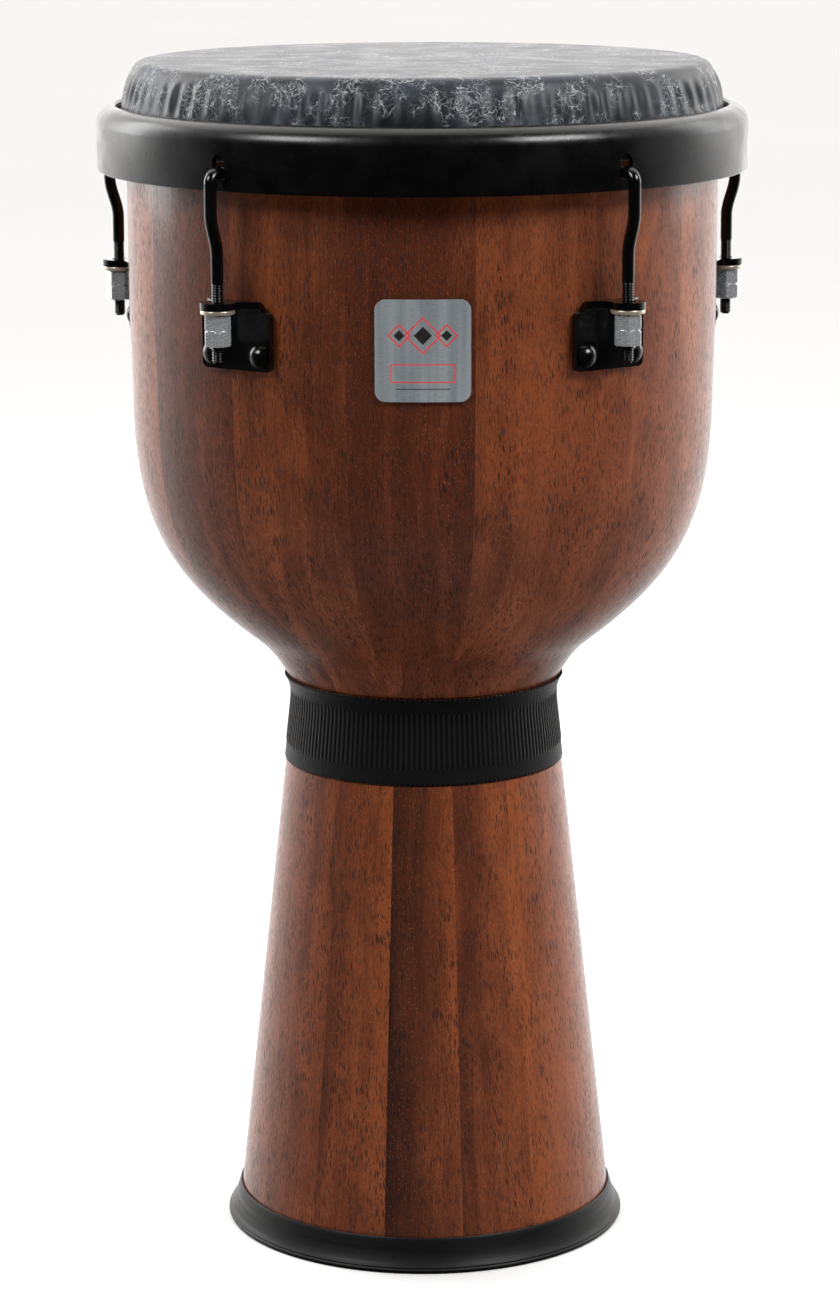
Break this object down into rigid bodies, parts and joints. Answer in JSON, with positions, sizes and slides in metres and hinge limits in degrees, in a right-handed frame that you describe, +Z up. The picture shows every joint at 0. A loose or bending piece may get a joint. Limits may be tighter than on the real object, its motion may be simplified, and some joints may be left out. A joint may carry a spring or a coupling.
{
  "type": "djembe",
  "caption": "Goblet hand drum with a stave-built wooden shell, a crimped marbled film head under a black tuning hoop, hook lugs with hex nuts, a woven neck band and a rubber foot ring.",
  "frame": {"origin": "where the shell's axis meets the floor, at the centre of the foot ring's bottom face", "axes": "+Z up along the shell's axis towards the drumhead; -Y is the front, where the badge is; +X is to the right as seen from the front"},
  "size_m": [0.3408, 0.3464, 0.6211],
  "materials": {
    "shell_wood": "satin lacquer over reddish brown open-pored hardwood staves",
    "webbing": "black ribbed polypropylene webbing",
    "foot_rubber": "black satin rubber",
    "hoop_black": "black satin powder coat with a fine orange peel",
    "drum_film": "blue-black marbled synthetic film with pale veins",
    "flesh_alloy": "drawn aluminium channel",
    "badge_plate": "brushed, with a printed ornament",
    "lug_black": "black satin powder coat",
    "rod_black": "black gloss, bare rolled thread",
    "nut_zinc": "bright zinc plate",
    "washer_steel": "pale yellowish plated steel",
    "bolt_black": "black gloss domed heads",
    "inner_steel": "zinc-plated steel"
  },
  "bodies": {
    "shell": {"bowl": "shell_wood", "stem": "shell_wood", "neck_band": "webbing", "foot_ring": "foot_rubber", "drumhead": "drum_film", "badge": "badge_plate", "lug_plate_1": "lug_black", "nut_washer_1": "washer_steel", "plate_bolt_1_left": "bolt_black", "bolt_washer_1_left": "inner_steel", "bolt_nut_1_left": "inner_steel", "plate_bolt_1_right": "bolt_black", "bolt_washer_1_right": "inner_steel", "bolt_nut_1_right": "inner_steel", "lug_plate_2": "lug_black", "nut_washer_2": "washer_steel", "plate_bolt_2_left": "bolt_black", "bolt_washer_2_left": "inner_steel", "bolt_nut_2_left": "inner_steel", "plate_bolt_2_right": "bolt_black", "bolt_washer_2_right": "inner_steel", "bolt_nut_2_right": "inner_steel", "lug_plate_3": "lug_black", "nut_washer_3": "washer_steel", "plate_bolt_3_left": "bolt_black", "bolt_washer_3_left": "inner_steel", "bolt_nut_3_left": "inner_steel", "plate_bolt_3_right": "bolt_black", "bolt_washer_3_right": "inner_steel", "bolt_nut_3_right": "inner_steel", "lug_plate_4": "lug_black", "nut_washer_4": "washer_steel", "plate_bolt_4_left": "bolt_black", "bolt_washer_4_left": "inner_steel", "bolt_nut_4_left": "inner_steel", "plate_bolt_4_right": "bolt_black", "bolt_washer_4_right": "inner_steel", "bolt_nut_4_right": "inner_steel", "lug_plate_5": "lug_black", "nut_washer_5": "washer_steel", "plate_bolt_5_left": "bolt_black", "bolt_washer_5_left": "inner_steel", "bolt_nut_5_left": "inner_steel", "plate_bolt_5_right": "bolt_black", "bolt_washer_5_right": "inner_steel", "bolt_nut_5_right": "inner_steel"},
    "hoop": {"tuning_hoop": "hoop_black", "flesh_hoop": "flesh_alloy"},
    "hook_1": {"tuning_hook_1": "rod_black"},
    "nut_1": {"tuning_nut_1": "nut_zinc"},
    "hook_2": {"tuning_hook_2": "rod_black"},
    "nut_2": {"tuning_nut_2": "nut_zinc"},
    "hook_3": {"tuning_hook_3": "rod_black"},
    "nut_3": {"tuning_nut_3": "nut_zinc"},
    "hook_4": {"tuning_hook_4": "rod_black"},
    "nut_4": {"tuning_nut_4": "nut_zinc"},
    "hook_5": {"tuning_hook_5": "rod_black"},
    "nut_5": {"tuning_nut_5": "nut_zinc"}
  },
  "joints": [
    {"name": "hoop_tension", "type": "slide", "parent": "shell", "child": "hoop", "axis": [0, 0, -1], "range_m": [-0.005, 0.002]},
    {"name": "hook_1_draw", "type": "slide", "parent": "shell", "child": "hook_1", "axis": [0, 0, -1], "range_m": [-0.005, 0.002]},
    {"name": "nut_1_turn", "type": "hinge", "parent": "shell", "child": "nut_1", "pos_m": [0.09992, -0.13753, 0.4985], "axis": [0, 0, 1], "range_deg": [-1420, 570]},
    {"name": "hook_2_draw", "type": "slide", "parent": "shell", "child": "hook_2", "axis": [0, 0, -1], "range_m": [-0.005, 0.002]},
    {"name": "nut_2_turn", "type": "hinge", "parent": "shell", "child": "nut_2", "pos_m": [0.16168, 0.05253, 0.4985], "axis": [0, 0, 1], "range_deg": [-1420, 570]},
    {"name": "hook_3_draw", "type": "slide", "parent": "shell", "child": "hook_3", "axis": [0, 0, -1], "range_m": [-0.005, 0.002]},
    {"name": "nut_3_turn", "type": "hinge", "parent": "shell", "child": "nut_3", "pos_m": [0, 0.17, 0.4985], "axis": [0, 0, 1], "range_deg": [-1420, 570]},
    {"name": "hook_4_draw", "type": "slide", "parent": "shell", "child": "hook_4", "axis": [0, 0, -1], "range_m": [-0.005, 0.002]},
    {"name": "nut_4_turn", "type": "hinge", "parent": "shell", "child": "nut_4", "pos_m": [-0.16168, 0.05253, 0.4985], "axis": [0, 0, 1], "range_deg": [-1420, 570]},
    {"name": "hook_5_draw", "type": "slide", "parent": "shell", "child": "hook_5", "axis": [0, 0, -1], "range_m": [-0.005, 0.002]},
    {"name": "nut_5_turn", "type": "hinge", "parent": "shell", "child": "nut_5", "pos_m": [-0.09992, -0.13753, 0.4985], "axis": [0, 0, 1], "range_deg": [-1420, 570]}
  ],
  "couplings": [
    {"joint": "hook_1_draw", "follows": "hoop_tension", "ratio": 1},
    {"joint": "nut_1_turn", "follows": "hoop_tension", "rad_per_m": 4947.4},
    {"joint": "hook_2_draw", "follows": "hoop_tension", "ratio": 1},
    {"joint": "nut_2_turn", "follows": "hoop_tension", "rad_per_m": 4947.4},
    {"joint": "hook_3_draw", "follows": "hoop_tension", "ratio": 1},
    {"joint": "nut_3_turn", "follows": "hoop_tension", "rad_per_m": 4947.4},
    {"joint": "hook_4_draw", "follows": "hoop_tension", "ratio": 1},
    {"joint": "nut_4_turn", "follows": "hoop_tension", "rad_per_m": 4947.4},
    {"joint": "hook_5_draw", "follows": "hoop_tension", "ratio": 1},
    {"joint": "nut_5_turn", "follows": "hoop_tension", "rad_per_m": 4947.4}
  ]
}
